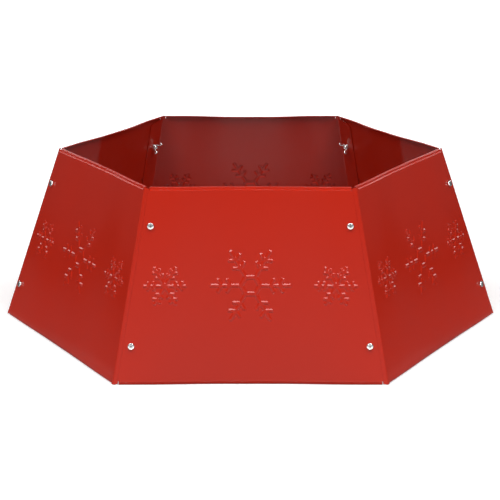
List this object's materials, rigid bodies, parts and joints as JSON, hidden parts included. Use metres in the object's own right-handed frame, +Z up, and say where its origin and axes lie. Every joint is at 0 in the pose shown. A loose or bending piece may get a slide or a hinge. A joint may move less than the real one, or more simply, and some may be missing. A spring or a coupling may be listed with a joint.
{
  "type": "christmas tree collar",
  "caption": "Rigid hexagonal tree collar of leaning sheet-steel panels with raised snowflakes, bolted at the corners with pan-head screws and wing nuts.",
  "frame": {"origin": "on the floor, in the middle of the hexagon", "axes": "+Z up, +X to the right across the corners seen from the front, front panel faces -Y"},
  "size_m": [0.6774, 0.5879, 0.235],
  "materials": {
    "red_enamel": "glossy powder coat",
    "screw_zinc": "bright zinc plate",
    "wing_nut_zinc": "zinc plate on a cast surface"
  },
  "bodies": {
    "root": {"panel_front": "red_enamel", "panel_front_left": "red_enamel", "panel_front_right": "red_enamel", "panel_back_left": "red_enamel", "panel_back_right": "red_enamel", "panel_back": "red_enamel", "screw_front_left_upper": "screw_zinc", "screw_front_left_lower": "screw_zinc", "screw_front_right_upper": "screw_zinc", "screw_front_right_lower": "screw_zinc", "screw_left_upper": "screw_zinc", "screw_left_lower": "screw_zinc", "screw_right_upper": "screw_zinc", "screw_right_lower": "screw_zinc", "screw_back_left_upper": "screw_zinc", "screw_back_left_lower": "screw_zinc", "screw_back_right_upper": "screw_zinc", "screw_back_right_lower": "screw_zinc"},
    "wing_nut_front_left_upper": {"wing_nut_front_left_upper": "wing_nut_zinc"},
    "wing_nut_front_left_lower": {"wing_nut_front_left_lower": "wing_nut_zinc"},
    "wing_nut_front_right_upper": {"wing_nut_front_right_upper": "wing_nut_zinc"},
    "wing_nut_front_right_lower": {"wing_nut_front_right_lower": "wing_nut_zinc"},
    "wing_nut_left_upper": {"wing_nut_left_upper": "wing_nut_zinc"},
    "wing_nut_left_lower": {"wing_nut_left_lower": "wing_nut_zinc"},
    "wing_nut_right_upper": {"wing_nut_right_upper": "wing_nut_zinc"},
    "wing_nut_right_lower": {"wing_nut_right_lower": "wing_nut_zinc"},
    "wing_nut_back_left_upper": {"wing_nut_back_left_upper": "wing_nut_zinc"},
    "wing_nut_back_left_lower": {"wing_nut_back_left_lower": "wing_nut_zinc"},
    "wing_nut_back_right_upper": {"wing_nut_back_right_upper": "wing_nut_zinc"},
    "wing_nut_back_right_lower": {"wing_nut_back_right_lower": "wing_nut_zinc"}
  },
  "joints": [
    {"name": "wing_nut_front_left_upper_turn", "type": "hinge", "parent": "root", "child": "wing_nut_front_left_upper", "pos_m": [-0.12375, -0.23734, 0.1883], "axis": [0, 0.9601, -0.2795], "continuous": true},
    {"name": "wing_nut_front_left_lower_turn", "type": "hinge", "parent": "root", "child": "wing_nut_front_left_lower", "pos_m": [-0.14775, -0.27892, 0.04547], "axis": [0, 0.9601, -0.2795], "continuous": true},
    {"name": "wing_nut_front_right_upper_turn", "type": "hinge", "parent": "root", "child": "wing_nut_front_right_upper", "pos_m": [0.12375, -0.23734, 0.1883], "axis": [0, 0.9601, -0.2795], "continuous": true},
    {"name": "wing_nut_front_right_lower_turn", "type": "hinge", "parent": "root", "child": "wing_nut_front_right_lower", "pos_m": [0.14775, -0.27892, 0.04547], "axis": [0, 0.9601, -0.2795], "continuous": true},
    {"name": "wing_nut_left_upper_turn", "type": "hinge", "parent": "root", "child": "wing_nut_left_upper", "pos_m": [-0.26741, -0.0115, 0.1883], "axis": [0.8315, 0.4801, -0.2795], "continuous": true},
    {"name": "wing_nut_left_lower_turn", "type": "hinge", "parent": "root", "child": "wing_nut_left_lower", "pos_m": [-0.31543, -0.0115, 0.04547], "axis": [0.8315, 0.4801, -0.2795], "continuous": true},
    {"name": "wing_nut_right_upper_turn", "type": "hinge", "parent": "root", "child": "wing_nut_right_upper", "pos_m": [0.26741, -0.0115, 0.1883], "axis": [-0.8315, 0.4801, -0.2795], "continuous": true},
    {"name": "wing_nut_right_lower_turn", "type": "hinge", "parent": "root", "child": "wing_nut_right_lower", "pos_m": [0.31543, -0.0115, 0.04547], "axis": [-0.8315, 0.4801, -0.2795], "continuous": true},
    {"name": "wing_nut_back_left_upper_turn", "type": "hinge", "parent": "root", "child": "wing_nut_back_left_upper", "pos_m": [-0.14367, 0.22584, 0.1883], "axis": [0.8315, -0.4801, -0.2795], "continuous": true},
    {"name": "wing_nut_back_left_lower_turn", "type": "hinge", "parent": "root", "child": "wing_nut_back_left_lower", "pos_m": [-0.16767, 0.26742, 0.04547], "axis": [0.8315, -0.4801, -0.2795], "continuous": true},
    {"name": "wing_nut_back_right_upper_turn", "type": "hinge", "parent": "root", "child": "wing_nut_back_right_upper", "pos_m": [0.14367, 0.22584, 0.1883], "axis": [-0.8315, -0.4801, -0.2795], "continuous": true},
    {"name": "wing_nut_back_right_lower_turn", "type": "hinge", "parent": "root", "child": "wing_nut_back_right_lower", "pos_m": [0.16767, 0.26742, 0.04547], "axis": [-0.8315, -0.4801, -0.2795], "continuous": true}
  ]
}
